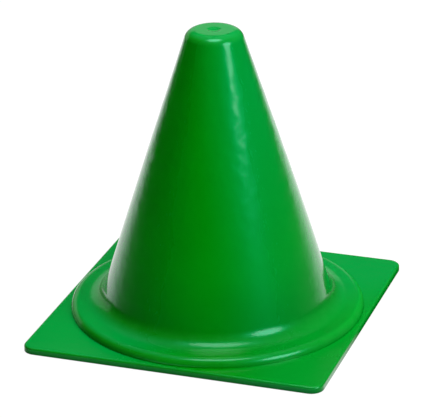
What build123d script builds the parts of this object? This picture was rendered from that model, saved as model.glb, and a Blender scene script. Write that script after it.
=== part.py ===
from build123d import *
import os
from math import hypot

# Sports marker cone: a hollow moulded cone on a round flange, snapped into a square base plate.
# Millimetres, +Z up, with the origin on the floor below the tip of the cone.

# Cone wall and top
overall_height = 152.0
top_diameter = 27.0  # where the line of the wall meets the top face
foot_diameter = 119.2  # where the line of the wall meets the flange's top face
wall_thickness = 2.0
cap_thickness = 2.4
shoulder_radius = 5.8
inside_corner_chamfer = 1.0  # keeps the wall full behind the shoulder
gate_dimple_diameter = 7.0
gate_dimple_depth = 0.8

# Round flange at the cone's foot
flange_width = 15.55  # from the line of the wall to the rim
flange_rise = 4.2  # above the plate
flange_rim_land = 0.2  # upright part of the rim, below its round
foot_fillet_radius = 10.0

# Square base plate
plate_margin = 2.5  # from the flange's rim to the plate's sides
plate_thickness = 3.5
plate_corner_radius = 6.5
plate_edge_chamfer = 0.5

# Snap fit of the cone's spigot in the plate's hole
spigot_tip_wall = 1.6
spigot_floor_gap = 0.4  # the plate alone stands on the floor
bead_height = 1.0
bead_reach = 0.5
fit_clearance = 0.15

# Lines of the wall
flange_top = plate_thickness + flange_rise
top_radius = top_diameter / 2
foot_radius = foot_diameter / 2
wall_spread = (foot_radius - top_radius) / (overall_height - flange_top)  # radius gained per mm down
wall_width = wall_thickness * hypot(1, wall_spread)  # the wall cut level


def inner_radius(height):
    """Radius of the cone's hollow at a height above the floor."""
    return foot_radius + (flange_top - height) * wall_spread - wall_width


# Flange, plate and snap fit, each worked out from the wall
flange_radius = foot_radius + flange_width
flange_rim_radius = flange_rise - flange_rim_land
plate_side = 2 * (flange_radius + plate_margin)
cap_underside = overall_height - cap_thickness
spigot_radius = inner_radius(spigot_floor_gap) + spigot_tip_wall
bead_radius = spigot_radius + bead_reach
bead_top = spigot_floor_gap + bead_height


def turned(outline, rounded_corners, chamfered_corners):
    """A body turned about Z from a half section of (radius, height) points, with some corners eased."""
    section = make_face(Polyline(*outline, close=True))
    for corner, radius in rounded_corners:
        section = fillet(section.vertices().sort_by_distance(corner)[0], radius)
    for corner, length in chamfered_corners:
        section = chamfer(section.vertices().sort_by_distance(corner)[0], length)
    return revolve(Plane.XZ * section, Axis.Z)


def make_cone_body():
    """The cone, its flange and its spigot, in one wall that is open below for stacking."""
    shoulder = (top_radius, overall_height)
    foot = (foot_radius, flange_top)
    rim = (flange_radius, flange_top)
    skirt_inside = flange_radius - wall_thickness
    flange_underside = flange_top - wall_thickness
    channel_depth = flange_underside - plate_thickness
    hollow_top = (inner_radius(cap_underside), cap_underside)
    outline = [
        (0, overall_height),
        shoulder,
        foot,
        rim,
        (flange_radius, plate_thickness),
        (skirt_inside, plate_thickness),
        (skirt_inside - channel_depth, flange_underside),
        (spigot_radius, flange_underside),
        (spigot_radius, bead_top),
        (bead_radius, bead_top),
        (spigot_radius, spigot_floor_gap),
        (inner_radius(spigot_floor_gap), spigot_floor_gap),
        hollow_top,
        (0, cap_underside),
    ]
    rounded_corners = [
        (shoulder, shoulder_radius),
        (foot, foot_fillet_radius),
        (rim, flange_rim_radius),
    ]
    chamfered_corners = [(hollow_top, inside_corner_chamfer)]
    body = turned(outline, rounded_corners, chamfered_corners)

    # The mark that the moulding gate leaves in the top face, a shallow ball-shaped dimple
    half_width = gate_dimple_diameter / 2
    ball_radius = (half_width**2 + gate_dimple_depth**2) / (2 * gate_dimple_depth)
    ball_height = overall_height - gate_dimple_depth + ball_radius
    return body - Pos(0, 0, ball_height) * Sphere(ball_radius)


def make_base_plate():
    """The square plate, with a hole for the spigot and an undercut below for its bead."""
    plate = extrude(RectangleRounded(plate_side, plate_side, plate_corner_radius), plate_thickness)
    plate = chamfer(plate.faces().sort_by(Axis.Z)[-1].edges(), plate_edge_chamfer)

    hole_radius = spigot_radius + fit_clearance
    groove_radius = bead_radius + fit_clearance
    groove_top = bead_top + fit_clearance
    lying_on_floor = (Align.CENTER, Align.CENTER, Align.MIN)
    hole = Cylinder(hole_radius, plate_thickness, align=lying_on_floor)
    groove = Cylinder(groove_radius, groove_top, align=lying_on_floor)
    return plate - hole - groove


os.makedirs("parts", exist_ok=True)
for name, solid in (("cone_body", make_cone_body()), ("base_plate", make_base_plate())):
    export_step(solid, f"parts/{name}.step")
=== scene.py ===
from math import asin, ceil, cos, pi, radians, sin, tan

import bpy
from mathutils import Matrix, Vector, noise


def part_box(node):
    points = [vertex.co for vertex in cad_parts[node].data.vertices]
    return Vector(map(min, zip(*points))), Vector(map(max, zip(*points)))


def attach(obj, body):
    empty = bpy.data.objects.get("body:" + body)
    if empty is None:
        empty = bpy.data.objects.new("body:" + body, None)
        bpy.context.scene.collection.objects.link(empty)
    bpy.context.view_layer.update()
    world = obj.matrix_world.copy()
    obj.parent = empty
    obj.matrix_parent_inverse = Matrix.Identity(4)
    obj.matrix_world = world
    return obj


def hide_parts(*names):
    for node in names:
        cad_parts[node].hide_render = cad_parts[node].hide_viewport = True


# A green sports marker cone on a pale studio floor. Metres, +Z up, origin on the floor under the cone's tip.

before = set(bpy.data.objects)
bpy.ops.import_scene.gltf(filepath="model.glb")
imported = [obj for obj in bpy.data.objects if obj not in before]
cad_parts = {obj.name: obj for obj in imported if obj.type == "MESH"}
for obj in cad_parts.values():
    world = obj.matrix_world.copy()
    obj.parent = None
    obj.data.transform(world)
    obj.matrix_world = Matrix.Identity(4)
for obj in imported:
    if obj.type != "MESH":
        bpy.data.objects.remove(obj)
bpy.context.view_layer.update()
plate_low, plate_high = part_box("base_plate")
cone_low, cone_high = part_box("cone_body")

# Sizes read from the frame
PLATE_SIDE = plate_high.x - plate_low.x
PLATE_TOP = plate_high.z
CONE_TOP = cone_high.z
FLANGE_RADIUS = cone_high.x
SPIGOT_LOW = cone_low.z

# Cone: wall, top, flange and spigot
WALL = 0.002
CAP = 0.0024
TOP_RADIUS = 0.0135  # where the line of the wall meets the top face
FOOT_RADIUS = 0.0596  # where the line of the wall meets the flange's top face
FLANGE_RISE = 0.0042
FLANGE_TOP = PLATE_TOP + FLANGE_RISE
SHOULDER_ROUND = 0.0058
DIMPLE_RADIUS = 0.0035
DIMPLE_DEPTH = 0.0008
DIMPLE_LIP_ROUND = 0.0012
FOOT_ROUND = 0.010
RIM_ROUND = 0.004
SPIGOT_TIP_WALL = 0.0016
SPIGOT_LOW_ROUND = 0.0004
BEAD_HEIGHT = 0.001
BEAD_REACH = 0.0005
INSIDE_TOP_ROUND = 0.0018

# Plate
PLATE_CORNER = 0.0065
PLATE_EDGE_ROUND = 0.0012
PLATE_LOW_ROUND = 0.0002
HOLE_CLEARANCE = 0.00015

# Fineness of the meshes
SEGMENTS = 192
ARC_STEP = radians(3)
RUN_STEP = 0.002
INSIDE_RUN_STEP = 0.008
DIMPLE_STEPS = 8

# Bow and waves that moulding leaves in the outer wall
WALL_BOW = 0.0006
RIGHT_BOW = 0.0003  # added toward the camera's right and taken away toward its left
WAVE_LENGTH = 0.0042
WAVE_DEPTH = 0.00018  # on the upper wall
WAVE_FOOT_DEPTH = 0.00004
WAVE_FOOT = 0.05  # the height where the waves start to deepen
WAVE_FULL = 0.09
WAVE_FADE = 0.012  # below the top face, where they die out

# Camera, fitted to the outline in the photograph
IMAGE_WIDTH = 436
FOCAL_PIXELS = 2549
SENSOR_WIDTH = 36.0
CAMERA_AZIMUTH = radians(18.60)
CAMERA_ELEVATION = radians(23.33)
CAMERA_ROLL = radians(-0.70)
CAMERA_DISTANCE = 8.256 * PLATE_SIDE
AIM_RIGHT = 0.0071 * PLATE_SIDE
AIM_UP = -0.1294 * PLATE_SIDE
AIM_HEIGHT = PLATE_SIDE / 2

# Level directions as the camera stands
RIGHTWARD = Vector((cos(CAMERA_AZIMUTH), sin(CAMERA_AZIMUTH), 0))
AWAY = Vector((-sin(CAMERA_AZIMUTH), cos(CAMERA_AZIMUTH), 0))
BACK_LEFT = 0.8 * AWAY - 0.5 * RIGHTWARD
BACK_RIGHT = 0.66 * AWAY + 0.75 * RIGHTWARD

# Colours of the plastic
DEEP_GREEN = (0.0, 0.27, 0.000, 1.0)
BRIGHT_GREEN = (0.0, 0.33, 0.001, 1.0)
# Painted bluish sheen toward the camera's right, where the side light falls
SIDE_SHEEN = (0.0, 0.31, 0.04, 1.0)
# Painted bluish sheen on level faces toward the back left, where the back light reaches past the cone
BACK_SHEEN = (0.0, 0.33, 0.06, 1.0)
# Painted shade, low on the wall above the flange and toward the bottom of the plate's edge
PAINTED_SHADE = (0.0, 0.0, 0.0, 1.0)
RUBBED = (0.05, 0.42, 0.10, 1.0)
SPECULAR_TINT = (0.0, 1.0, 0.65, 1.0)

# Noises in the plastic, as scale and detail
CLOUDS = (45.0, 3.0)
SCRATCHES = (1.0, 2.0)
RUBS = (260.0, 4.0)
PEEL = (210.0, 2.0)
SCRATCH_STRETCH = (900.0, 900.0, 160.0)
PEEL_DEPTH = 0.00006

# Where each finish starts and where it is full: metres along a direction or up, or a share where it says so
LEVEL = (0.7, 0.98)  # share of the surface's direction that points up
SIDE_SHEEN_BREADTH = (-0.003, 0.032)  # rightward
SIDE_SHEEN_HEIGHT = (0.05, 0.13)
BACK_SHEEN_PLACE = (-0.06, -0.015)  # toward the back left
WALL_SHADE_ABOVE = (0.040, 0.006)  # above the flange, coming down
WALL_SHADE_BELOW = (0.0, 0.005)  # above the flange, going up
# Painted shade toward the bottom of the plate's edge
PLATE_SHADE = (PLATE_TOP, 0.0005)
FRONT = (-0.03, -0.08)  # away from the camera
SCUFFS = (0.62, 0.78)  # share of the scratches' noise
GRAZING = (0.1, 0.55)  # share, 0 where the surface faces the eye
MATT_PLACE = (-0.025, 0.032)  # toward the back right
MATT_RIM = (FLANGE_TOP - 0.00002, FLANGE_TOP - 0.0003)
MATT_RIM_END = (PLATE_TOP, PLATE_TOP + 0.0001)
MATT_SIDE = (PLATE_TOP - 0.00003, PLATE_TOP - 0.0003)

# Strength of each finish
SIDE_SHEEN_LEAN = 0.08  # how much the edge of the painted side sheen leans
SIDE_SHEEN_LOW_SHARE = 0.45  # of the painted side sheen, low on the wall
BACK_SHEEN_SHARE = 0.7
WALL_SHADE_SHARE = 0.16
PLATE_SHADE_SHARE = 0.45
RUBBED_SHARE = 0.18
BROAD_ROUGH = 0.26
GRAZING_ROUGH = 0.10
CLOUD_ROUGH = 0.06
SCUFF_ROUGH = 0.06
LEVEL_ROUGH = 0.175  # added on level faces in front
IOR = 1.47
SPECULAR = 0.5
SKIN = 0.24
SKIN_ROUGH = 0.12
SKIN_IOR = 1.5

# Lights, with levels as shares of full light, and ends as degrees right of the camera, degrees up, and metres
OVERHEAD_HEIGHT = 0.83
OVERHEAD_LENGTH = 0.42
OVERHEAD_WIDTH = 0.36
OVERHEAD_FORWARD = 0.10
OVERHEAD_LEVEL = 0.51
SIDE_WIDTH = 0.62
SIDE_LOW_END = (46, 17.5, 1.3)
SIDE_HIGH_END = (58, 46, 1.3)
SIDE_LEVEL = 0.68
BACK_WIDTH = 0.9
BACK_LOW_END = (180, 43, 1.1)
BACK_HIGH_END = (180, 71, 1.1)
BACK_LEVEL = 0.75

# Backdrop and sky
SKY_LEVEL = 0.01
BACKDROP_LEVEL = 0.40
BACKDROP_TOP = radians(21.7)
BACKDROP_LEFT = radians(20)  # of the way straight beyond the cone
BACKDROP_HALF_WIDTH = radians(35)
BACKDROP_FADE = 0.025

# Floor
FLOOR_SIZE = 4.0
FLOOR_PALE_TO = 0.60  # metres from the cone
FLOOR_GREY_FROM = 0.90
FLOOR_GREY = 0.4
FLOOR_GLOW = 0.93
FLOOR_SHADOW = 0.10  # how pale the floor is to the lights where the camera or a reflection sees it
FLOOR_WHITE = 0.6  # how pale it is for the light that it throws on the cone
FLOOR_MIRRORED = 1.07  # glow of the floor in reflections, as a share of its own
FLOOR_DARK_TO = radians(6)  # steepness of the mirrored view
FLOOR_BRIGHT_FROM = radians(12)
FLOOR_BESIDE = 0.15  # what is left of the mirrored floor at the plate's front edge, in a painted contact shadow
FLOOR_BESIDE_WIDTH = 0.01


def inner_radius(height):
    """Radius of the cone's hollow at a height above the floor."""
    spread = (FOOT_RADIUS - TOP_RADIUS) / (CONE_TOP - FLANGE_TOP)
    wall_width = WALL * (1 + spread**2) ** 0.5
    return FOOT_RADIUS + (FLANGE_TOP - height) * spread - wall_width


def rounded(corners, run_step):
    """Points along an open outline of (x, y, radius) corners, with each corner turned by its radius, and for
    each point how far it is into a turn: 0 on a straight run, 1 in the middle of an arc."""
    points = [Vector(corners[0][:2])]
    bends = [0.0]

    def run_to(end):
        start = points[-1].copy()
        steps = ceil((end - start).length / run_step)
        for step in range(1, steps + 1):
            points.append(start.lerp(end, step / steps))
            bends.append(0.0)

    for before, corner, after in zip(corners, corners[1:], corners[2:]):
        here = Vector(corner[:2])
        radius = corner[2]
        back = (Vector(before[:2]) - here).normalized()
        ahead = (Vector(after[:2]) - here).normalized()
        half = back.angle(ahead) / 2
        if radius == 0:
            run_to(here)
            continue
        run_to(here + back * radius / tan(half))
        centre = here + (back + ahead).normalized() * radius / sin(half)
        arm = points[-1] - centre
        last_arm = here + ahead * radius / tan(half) - centre
        steps = ceil((pi - 2 * half) / ARC_STEP)
        for step in range(1, steps + 1):
            points.append(centre + radius * arm.slerp(last_arm, step / steps))
            bends.append(sin(pi * step / steps))
    run_to(Vector(corners[-1][:2]))
    return points, bends


def make_piece(name, vertices, faces, wear):
    """A smooth-shaded mesh object with its edge wear in a point attribute."""
    mesh = bpy.data.meshes.new(name)
    mesh.from_pydata(vertices, [], faces)
    mesh.shade_smooth()
    mesh.attributes.new("edge_wear", "FLOAT", "POINT").data.foreach_set("value", wear)
    piece = bpy.data.objects.new(name, mesh)
    bpy.context.scene.collection.objects.link(piece)
    return piece


def ring_faces(rings, count):
    """Quads between neighbouring rings of vertices, for rings numbered from 0."""
    faces = []
    for ring in range(rings - 1):
        for i in range(count):
            j = (i + 1) % count
            a, b = ring * count, (ring + 1) * count
            faces.append((a + i, a + j, b + j, b + i))
    return faces


def clamped(share):
    """A share kept between 0 and 1."""
    return min(max(share, 0.0), 1.0)


def wall_wave(point):
    """How far a point of the outer wall moves away from the origin: a bow, most at mid-height, and waves."""
    up_wall = (point.z - FLANGE_TOP) / (CONE_TOP - FLANGE_TOP)
    rightward = RIGHTWARD.dot(point.xy.to_3d().normalized())
    bow = (WALL_BOW + RIGHT_BOW * rightward) * sin(pi * clamped(up_wall))
    below_top = clamped((CONE_TOP - point.z) / WAVE_FADE)
    above_foot = clamped((point.z - WAVE_FOOT) / (WAVE_FULL - WAVE_FOOT))
    depth = below_top * (WAVE_FOOT_DEPTH + (WAVE_DEPTH - WAVE_FOOT_DEPTH) * above_foot)
    return bow + depth * noise.noise(point / WAVE_LENGTH)


def make_cone():
    """The cone with its flange and spigot, turned from one outline that runs down outside and up inside."""
    ball_radius = (DIMPLE_RADIUS**2 + DIMPLE_DEPTH**2) / (2 * DIMPLE_DEPTH)
    dimple_angle = asin(DIMPLE_RADIUS / ball_radius)
    dimple = []
    for step in range(1, DIMPLE_STEPS):
        angle = dimple_angle * step / DIMPLE_STEPS
        dimple.append((ball_radius * sin(angle), CONE_TOP - DIMPLE_DEPTH + ball_radius * (1 - cos(angle)), 0))
    outside = dimple + [
        (DIMPLE_RADIUS, CONE_TOP, DIMPLE_LIP_ROUND),
        (TOP_RADIUS, CONE_TOP, SHOULDER_ROUND),
        (FOOT_RADIUS, FLANGE_TOP, FOOT_ROUND),
        (FLANGE_RADIUS, FLANGE_TOP, RIM_ROUND),
        (FLANGE_RADIUS, PLATE_TOP, 0),
    ]
    skirt_inside = FLANGE_RADIUS - WALL
    flange_underside = FLANGE_TOP - WALL
    spigot_radius = inner_radius(SPIGOT_LOW) + SPIGOT_TIP_WALL
    bead_top = SPIGOT_LOW + BEAD_HEIGHT
    inside = [
        (FLANGE_RADIUS, PLATE_TOP, 0),
        (skirt_inside, PLATE_TOP, 0),
        (skirt_inside - (flange_underside - PLATE_TOP), flange_underside, 0),
        (spigot_radius, flange_underside, 0),
        (spigot_radius, bead_top, 0),
        (spigot_radius + BEAD_REACH, bead_top, 0),
        (spigot_radius, SPIGOT_LOW, SPIGOT_LOW_ROUND),
        (inner_radius(SPIGOT_LOW), SPIGOT_LOW, SPIGOT_LOW_ROUND),
        (inner_radius(CONE_TOP - CAP), CONE_TOP - CAP, INSIDE_TOP_ROUND),
        (DIMPLE_RADIUS, CONE_TOP - CAP, 0),
    ]
    outer_points, outer_bends = rounded(outside, RUN_STEP)
    inner_points, _ = rounded(inside, INSIDE_RUN_STEP)
    outline = outer_points + inner_points[1:]
    bends = outer_bends + [0.0] * (len(inner_points) - 1)

    vertices, wear = [], []
    for number, point in enumerate(outline):
        on_wall = number < len(outer_points) and point.y > FLANGE_TOP and point.x > DIMPLE_RADIUS
        for i in range(SEGMENTS):
            turn = 2 * pi * i / SEGMENTS
            vertex = Vector((point.x * cos(turn), point.x * sin(turn), point.y))
            if on_wall:
                vertex += wall_wave(vertex) * vertex.normalized()
            vertices.append(vertex)
            wear.append(bends[number])
    faces = ring_faces(len(outline), SEGMENTS)
    dimple_floor = len(vertices)
    vertices.append(Vector((0, 0, CONE_TOP - DIMPLE_DEPTH)))
    cap_centre = len(vertices)
    vertices.append(Vector((0, 0, CONE_TOP - CAP)))
    wear += [0.0, 0.0]
    last_ring = (len(outline) - 1) * SEGMENTS
    for i in range(SEGMENTS):
        j = (i + 1) % SEGMENTS
        faces.append((dimple_floor, j, i))
        faces.append((cap_centre, last_ring + i, last_ring + j))
    return make_piece("cone", vertices, faces, wear)


def plate_rim(count):
    """For each of count points round the plate: the centre that its round turns about, and the way out."""
    reach = PLATE_SIDE / 2 - PLATE_CORNER
    quarter = count // 4
    on_corner = quarter // 2
    on_side = quarter - on_corner
    rim = []
    for side in range(4):
        start = pi / 2 * side
        corner = Vector((reach, reach)) @ Matrix.Rotation(-start, 2)
        next_corner = Vector((-reach, reach)) @ Matrix.Rotation(-start, 2)
        for i in range(on_corner):
            turn = start + pi / 2 * i / (on_corner - 1)
            rim.append((corner, Vector((cos(turn), sin(turn)))))
        out = Vector((cos(start + pi / 2), sin(start + pi / 2)))
        for i in range(1, on_side + 1):
            rim.append((corner.lerp(next_corner, i / (on_side + 1)), out))
    return rim


def make_plate():
    """The square plate, from the top of its hole out over the rounded edge and back along the underside."""
    hole = inner_radius(SPIGOT_LOW) + SPIGOT_TIP_WALL + HOLE_CLEARANCE
    groove = hole + BEAD_REACH
    groove_top = SPIGOT_LOW + BEAD_HEIGHT + HOLE_CLEARANCE
    edge = [
        (-PLATE_CORNER / 2, PLATE_TOP, 0),
        (0, PLATE_TOP, PLATE_EDGE_ROUND),
        (0, 0, PLATE_LOW_ROUND),
        (-PLATE_CORNER / 2, 0, 0),
    ]
    points, bends = rounded(edge, RUN_STEP)
    rim = plate_rim(SEGMENTS)

    def circle(radius, height):
        return [(radius * (c + n).normalized()).to_3d() + Vector((0, 0, height)) for c, n in rim]

    def outline(inset, height):
        return [(c + (PLATE_CORNER + inset) * n).to_3d() + Vector((0, 0, height)) for c, n in rim]

    rings = [circle(hole, PLATE_TOP)]
    ring_wear = [0.0]
    for point, bend in zip(points, bends):
        rings.append(outline(point.x, point.y))
        ring_wear.append(bend if point.y > PLATE_TOP / 2 else 0.0)
    for radius, height in ((groove, 0), (groove, groove_top), (hole, groove_top), (hole, PLATE_TOP)):
        rings.append(circle(radius, height))
        ring_wear.append(0.0)

    vertices = [vertex for ring in rings for vertex in ring]
    wear = [value for value in ring_wear for _ in rim]
    faces = [tuple(reversed(face)) for face in ring_faces(len(rings), len(rim))]
    return make_piece("plate", vertices, faces, wear)


def set_inputs(tree, node, inputs):
    """Sets each of a node's inputs to a value, or links it from another node's output."""
    for name, value in inputs.items():
        if isinstance(value, bpy.types.NodeSocket):
            tree.links.new(value, node.inputs[name])
        else:
            node.inputs[name].default_value = value


def add_node(tree, kind, inputs, **settings):
    """A node with its settings and inputs."""
    node = tree.nodes.new(kind)
    for name, value in settings.items():
        setattr(node, name, value)
    set_inputs(tree, node, inputs)
    return node


def compute(tree, operation, *values):
    """The result of one sum on values or outputs."""
    return add_node(tree, "ShaderNodeMath", dict(enumerate(values)), operation=operation).outputs["Value"]


def ramp(tree, value, span, low=0.0, high=1.0, smooth=False):
    """A number that goes from low to high while the value goes through a span."""
    inputs = {"Value": value, "From Min": span[0], "From Max": span[1], "To Min": low, "To Max": high}
    kind = "SMOOTHSTEP" if smooth else "LINEAR"
    return add_node(tree, "ShaderNodeMapRange", inputs, interpolation_type=kind).outputs["Result"]


def along(tree, place, direction):
    """How far a place lies along a direction."""
    inputs = {0: place, 1: direction}
    return add_node(tree, "ShaderNodeVectorMath", inputs, operation="DOT_PRODUCT").outputs["Value"]


def part_of(tree, vector, axis):
    """One of a vector's parts, by the letter of its axis."""
    return add_node(tree, "ShaderNodeSeparateXYZ", {"Vector": vector}).outputs[axis]


def mottle(tree, place, scale, detail):
    """Noise from 0 to 1."""
    inputs = {"Vector": place, "Scale": scale, "Detail": detail}
    return add_node(tree, "ShaderNodeTexNoise", inputs).outputs["Fac"]


def blend(tree, share, first, second):
    """A colour that turns from the first into the second by a share."""
    # Inputs 6 and 7 and output 2 are the node's colours
    inputs = {"Factor": share, 6: first, 7: second}
    return add_node(tree, "ShaderNodeMix", inputs, data_type="RGBA").outputs[2]


def plastic_colour(tree, place, height, level, clouds):
    """Cloudy green with rubbed edges, a painted bluish sheen toward the camera's right and on level faces
    toward the back left, and painted shade low on the wall and at the bottom of the plate's edge.
    """
    green = blend(tree, clouds, DEEP_GREEN, BRIGHT_GREEN)

    # Painted bluish sheen toward the camera's right, stronger higher up, where the side light falls
    breadth = along(tree, place, RIGHTWARD + Vector((0, 0, SIDE_SHEEN_LEAN)))
    side_sheen_share = ramp(tree, height, SIDE_SHEEN_HEIGHT, low=SIDE_SHEEN_LOW_SHARE)
    with_side_sheen = blend(tree, ramp(tree, breadth, SIDE_SHEEN_BREADTH, high=side_sheen_share, smooth=True), green, SIDE_SHEEN)

    # Painted bluish sheen on level faces toward the back left, where the back light is not shadowed by the
    # cone
    back_sheen_mask = ramp(tree, along(tree, place, BACK_LEFT), BACK_SHEEN_PLACE, high=BACK_SHEEN_SHARE, smooth=True)
    with_back_sheen = blend(tree, compute(tree, "MULTIPLY", level, back_sheen_mask), with_side_sheen, BACK_SHEEN)

    # Painted shade: darker low on the wall, just above the flange
    above_flange = compute(tree, "SUBTRACT", height, FLANGE_TOP)
    low_on_wall = ramp(tree, above_flange, WALL_SHADE_ABOVE, smooth=True)
    off_flange = ramp(tree, above_flange, WALL_SHADE_BELOW, high=WALL_SHADE_SHARE)
    wall_foot_shade = compute(tree, "MULTIPLY", low_on_wall, off_flange)
    # Painted contact shadow: darker toward the bottom of the plate's edge
    plate_low_shade = ramp(tree, height, PLATE_SHADE, high=PLATE_SHADE_SHARE)
    with_shade = blend(tree, compute(tree, "MAXIMUM", wall_foot_shade, plate_low_shade), with_back_sheen, PAINTED_SHADE)

    edge_wear = add_node(tree, "ShaderNodeAttribute", {}, attribute_name="edge_wear").outputs["Fac"]
    rubbing = compute(tree, "MULTIPLY", edge_wear, mottle(tree, place, *RUBS))
    return blend(tree, compute(tree, "MULTIPLY", rubbing, RUBBED_SHARE), with_shade, RUBBED)


def plastic_roughness(tree, place, level, clouds):
    """Smoother where it is seen at a slant, with clouds and scuffs, and rougher on level faces in front."""
    slant = add_node(tree, "ShaderNodeLayerWeight", {}).outputs["Facing"]
    clean = ramp(tree, slant, GRAZING, BROAD_ROUGH, GRAZING_ROUGH)
    cloudy = compute(tree, "MULTIPLY_ADD", clouds, CLOUD_ROUGH, clean)
    stretch = {"Vector": place, "Scale": SCRATCH_STRETCH}
    stretched = add_node(tree, "ShaderNodeMapping", stretch).outputs["Vector"]
    scuffs = ramp(tree, mottle(tree, stretched, *SCRATCHES), SCUFFS)
    scuffed = compute(tree, "MULTIPLY_ADD", scuffs, SCUFF_ROUGH, cloudy)
    in_front = ramp(tree, along(tree, place, AWAY), FRONT, high=LEVEL_ROUGH, smooth=True)
    return compute(tree, "MULTIPLY_ADD", level, in_front, scuffed)


def matt_edges(tree, place, height):
    """The share of gloss that is lost: all of it on the rim and the plate's sides at the back right."""
    rim = compute(tree, "MULTIPLY", ramp(tree, height, MATT_RIM), ramp(tree, height, MATT_RIM_END))
    edges = compute(tree, "MAXIMUM", rim, ramp(tree, height, MATT_SIDE))
    at_back_right = ramp(tree, along(tree, place, BACK_RIGHT), MATT_PLACE, smooth=True)
    return compute(tree, "MULTIPLY", edges, at_back_right)


def make_plastic():
    """Satin green moulded plastic with a thin glossy skin and a soft orange peel."""
    material = bpy.data.materials.new("moulded_plastic")
    material.use_nodes = True
    tree = material.node_tree
    place = add_node(tree, "ShaderNodeTexCoord", {}).outputs["Object"]
    height = part_of(tree, place, "Z")
    normal = add_node(tree, "ShaderNodeNewGeometry", {}).outputs["Normal"]
    level = ramp(tree, part_of(tree, normal, "Z"), LEVEL)
    clouds = mottle(tree, place, *CLOUDS)
    matt = matt_edges(tree, place, height)
    peel = {"Height": mottle(tree, place, *PEEL), "Distance": PEEL_DEPTH}
    peeled = add_node(tree, "ShaderNodeBump", peel).outputs["Normal"]
    inputs = {
        "Base Color": plastic_colour(tree, place, height, level, clouds),
        "Roughness": plastic_roughness(tree, place, level, clouds),
        "IOR": IOR,
        "Normal": peeled,
        "Specular IOR Level": ramp(tree, matt, (0, 1), SPECULAR, 0.0),
        "Specular Tint": SPECULAR_TINT,
        "Coat Weight": ramp(tree, matt, (0, 1), SKIN, 0.0),
        "Coat Roughness": SKIN_ROUGH,
        "Coat IOR": SKIN_IOR,
        "Coat Normal": peeled,
    }
    set_inputs(tree, tree.nodes["Principled BSDF"], inputs)
    return material


def from_cone(right_of_camera, up, distance):
    """The point at a bearing from the cone: degrees right of the camera, degrees up, and metres away."""
    azimuth = CAMERA_AZIMUTH + radians(right_of_camera)
    level = distance * cos(radians(up))
    return Vector((level * sin(azimuth), -level * cos(azimuth), distance * sin(radians(up))))


def add_softbox(name, low_end, high_end, width, level):
    """An oval light from one end to the other that faces the cone and gives a share of full light."""
    aim = Vector((0, 0, CONE_TOP / 2))
    centre = (low_end + high_end) / 2
    lengthwise = (high_end - low_end).normalized()
    back = centre - aim
    back = (back - lengthwise * back.dot(lengthwise)).normalized()
    light = bpy.data.lights.new(name, "AREA")
    light.shape = "ELLIPSE"
    light.size = width
    light.size_y = (high_end - low_end).length
    light.energy = level * pi**2 * (centre - aim).length ** 2
    lamp = bpy.data.objects.new(name, light)
    turn = Matrix((lengthwise.cross(back), lengthwise, back)).transposed()
    lamp.matrix_world = Matrix.Translation(centre) @ turn.to_4x4()
    lamp.visible_camera = False
    bpy.context.scene.collection.objects.link(lamp)
    return lamp


def add_lights():
    """One light overhead, one at the back that no reflection shows, and a large one at the right."""
    middle = from_cone(0, 0, OVERHEAD_FORWARD) + Vector((0, 0, OVERHEAD_HEIGHT))
    half = RIGHTWARD * OVERHEAD_LENGTH / 2
    add_softbox("overhead", middle - half, middle + half, OVERHEAD_WIDTH, OVERHEAD_LEVEL)
    back = add_softbox("back", from_cone(*BACK_LOW_END), from_cone(*BACK_HIGH_END), BACK_WIDTH, BACK_LEVEL)
    back.visible_glossy = False
    add_softbox("side", from_cone(*SIDE_LOW_END), from_cone(*SIDE_HIGH_END), SIDE_WIDTH, SIDE_LEVEL)


def grey(level):
    """A colour without hue."""
    return (level, level, level, 1.0)


def make_world():
    """A dim studio with a pale backdrop beyond the cone, up to a soft top edge."""
    world = bpy.data.worlds.new("studio")
    world.use_nodes = True
    tree = world.node_tree
    way = add_node(tree, "ShaderNodeTexCoord", {}).outputs["Generated"]
    middle = CAMERA_AZIMUTH + BACKDROP_LEFT
    toward_middle = along(tree, way, Vector((-sin(middle), cos(middle), 0)))
    side = cos(BACKDROP_HALF_WIDTH)
    top = sin(BACKDROP_TOP)
    between_sides = ramp(tree, toward_middle, (side - BACKDROP_FADE, side + BACKDROP_FADE), smooth=True)
    below_top = ramp(tree, part_of(tree, way, "Z"), (top + BACKDROP_FADE, top - BACKDROP_FADE), smooth=True)
    backdrop = compute(tree, "MULTIPLY", between_sides, below_top)
    level = compute(tree, "MULTIPLY_ADD", backdrop, BACKDROP_LEVEL, SKY_LEVEL)
    set_inputs(tree, tree.nodes["Background"], {"Color": grey(1.0), "Strength": level})
    bpy.context.scene.world = world


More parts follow.
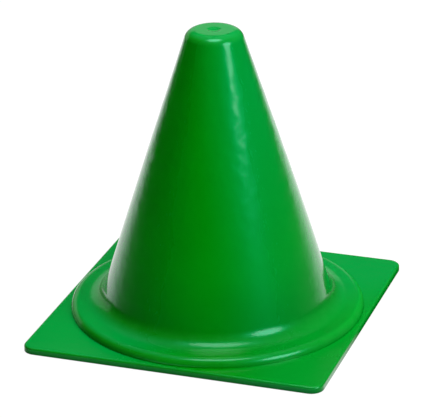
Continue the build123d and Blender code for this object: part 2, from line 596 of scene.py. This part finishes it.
def make_floor_material():
    """White near the cone as a painted pool of light, grey farther off, with a soft shadow. In reflections it
    darkens toward the horizon, and along the plate's front edge as a painted contact shadow. For the light
    that it throws on the cone it is a plain pale floor."""
    material = bpy.data.materials.new("floor")
    material.use_nodes = True
    tree = material.node_tree
    tree.nodes.clear()

    place = add_node(tree, "ShaderNodeTexCoord", {}).outputs["Object"]
    distance = add_node(tree, "ShaderNodeVectorMath", {0: place}, operation="LENGTH").outputs["Value"]
    # Painted pool of light: the floor glows white near the cone and greys farther off
    paleness = ramp(tree, distance, (FLOOR_PALE_TO, FLOOR_GREY_FROM), 1.0, FLOOR_GREY, smooth=True)

    slant = add_node(tree, "ShaderNodeLayerWeight", {}).outputs["Facing"]
    steepening = (1 - sin(FLOOR_DARK_TO), 1 - sin(FLOOR_BRIGHT_FROM))
    mirrored = ramp(tree, slant, steepening, high=FLOOR_MIRRORED)
    # Painted contact shadow: the mirrored floor darkens along the plate's front edge
    past_front = compute(tree, "ADD", part_of(tree, place, "Y"), PLATE_SIDE / 2)
    from_front = compute(tree, "ABSOLUTE", past_front)
    front_contact_shadow = ramp(tree, from_front, (0, FLOOR_BESIDE_WIDTH), low=FLOOR_BESIDE)
    reflected = compute(tree, "MULTIPLY", mirrored, front_contact_shadow)

    rays = add_node(tree, "ShaderNodeLightPath", {}).outputs
    by_ray = add_node(tree, "ShaderNodeMix", {"Factor": rays["Is Glossy Ray"], 2: paleness, 3: reflected})
    strength = compute(tree, "MULTIPLY", by_ray.outputs[0], FLOOR_GLOW)
    glow = add_node(tree, "ShaderNodeEmission", {"Strength": strength})
    shadowed = add_node(tree, "ShaderNodeBsdfDiffuse", {"Color": grey(FLOOR_SHADOW)})
    shown = add_node(tree, "ShaderNodeAddShader", {0: shadowed.outputs[0], 1: glow.outputs[0]})
    pale = add_node(tree, "ShaderNodeBsdfDiffuse", {"Color": grey(FLOOR_WHITE)})
    seen = compute(tree, "MAXIMUM", rays["Is Camera Ray"], rays["Is Glossy Ray"])
    surface = add_node(tree, "ShaderNodeMixShader", {0: seen, 1: pale.outputs[0], 2: shown.outputs[0]})
    add_node(tree, "ShaderNodeOutputMaterial", {"Surface": surface.outputs[0]})
    return material


def make_floor():
    """A wide square floor."""
    half = FLOOR_SIZE / 2
    corners = [(-half, -half, 0), (half, -half, 0), (half, half, 0), (-half, half, 0)]
    mesh = bpy.data.meshes.new("floor")
    mesh.from_pydata(corners, [], [(0, 1, 2, 3)])
    mesh.materials.append(make_floor_material())
    floor = bpy.data.objects.new("floor", mesh)
    bpy.context.scene.collection.objects.link(floor)


def add_camera():
    """The camera at the photograph's viewing angle."""
    back = Vector((0, 0, sin(CAMERA_ELEVATION))) - AWAY * cos(CAMERA_ELEVATION)
    level_up = back.cross(RIGHTWARD)
    right = cos(CAMERA_ROLL) * RIGHTWARD + sin(CAMERA_ROLL) * level_up
    up = back.cross(right)
    place = Vector((0, 0, AIM_HEIGHT)) + right * AIM_RIGHT + up * AIM_UP + back * CAMERA_DISTANCE
    camera = bpy.data.objects.new("camera", bpy.data.cameras.new("camera"))
    camera.data.sensor_fit = "HORIZONTAL"
    camera.data.sensor_width = SENSOR_WIDTH
    camera.data.lens = FOCAL_PIXELS / IMAGE_WIDTH * SENSOR_WIDTH
    camera.matrix_world = Matrix.Translation(place) @ Matrix((right, up, back)).transposed().to_4x4()
    bpy.context.scene.collection.objects.link(camera)
    bpy.context.scene.camera = camera


plastic = make_plastic()
for piece, node in ((make_cone(), "cone_body"), (make_plate(), "base_plate")):
    piece.data.materials.append(plastic)
    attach(piece, "root")
    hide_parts(node)

add_lights()
make_world()
make_floor()
add_camera()
bpy.context.scene.view_settings.view_transform = "Standard"
